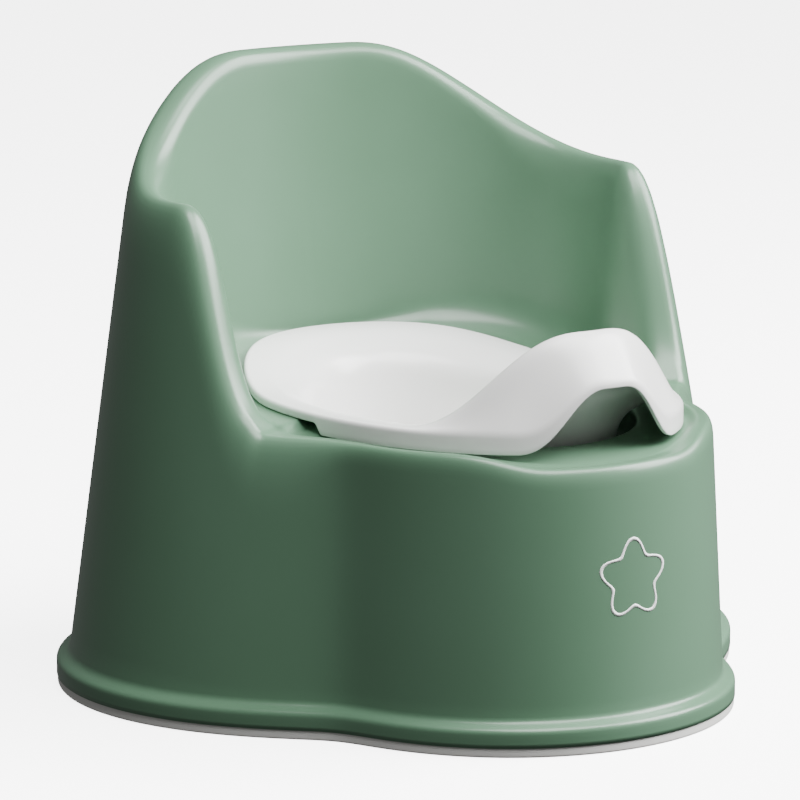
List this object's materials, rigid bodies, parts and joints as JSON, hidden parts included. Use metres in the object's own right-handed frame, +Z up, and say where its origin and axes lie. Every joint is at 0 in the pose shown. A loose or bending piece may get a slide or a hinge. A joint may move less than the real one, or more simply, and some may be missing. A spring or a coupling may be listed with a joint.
{
  "type": "potty training chair",
  "caption": "Moulded child's training chair with arms and a high backrest, a lift-out inner potty with splash guard, and a non-slip base strip.",
  "frame": {"origin": "on the floor, under the middle of the base outline (bottom centre of the bounding box)", "axes": "+Z up, the child faces -Y, +X to the right of someone who looks along +Y; the chair is symmetric about X = 0"},
  "size_m": [0.3798, 0.3722, 0.32],
  "materials": {
    "shell_plastic": "satin moulded polypropylene, deep sage green",
    "potty_plastic": "glossy moulded polypropylene, white",
    "strip_rubber": "matte thermoplastic elastomer, off-white"
  },
  "bodies": {
    "chair": {"chair_shell": "shell_plastic", "base_strip": "strip_rubber"},
    "inner_potty": {"inner_potty": "potty_plastic"}
  },
  "joints": [
    {"name": "potty_lift", "type": "slide", "parent": "chair", "child": "inner_potty", "axis": [0, 0, 1], "range_m": [0, 0.3]}
  ]
}
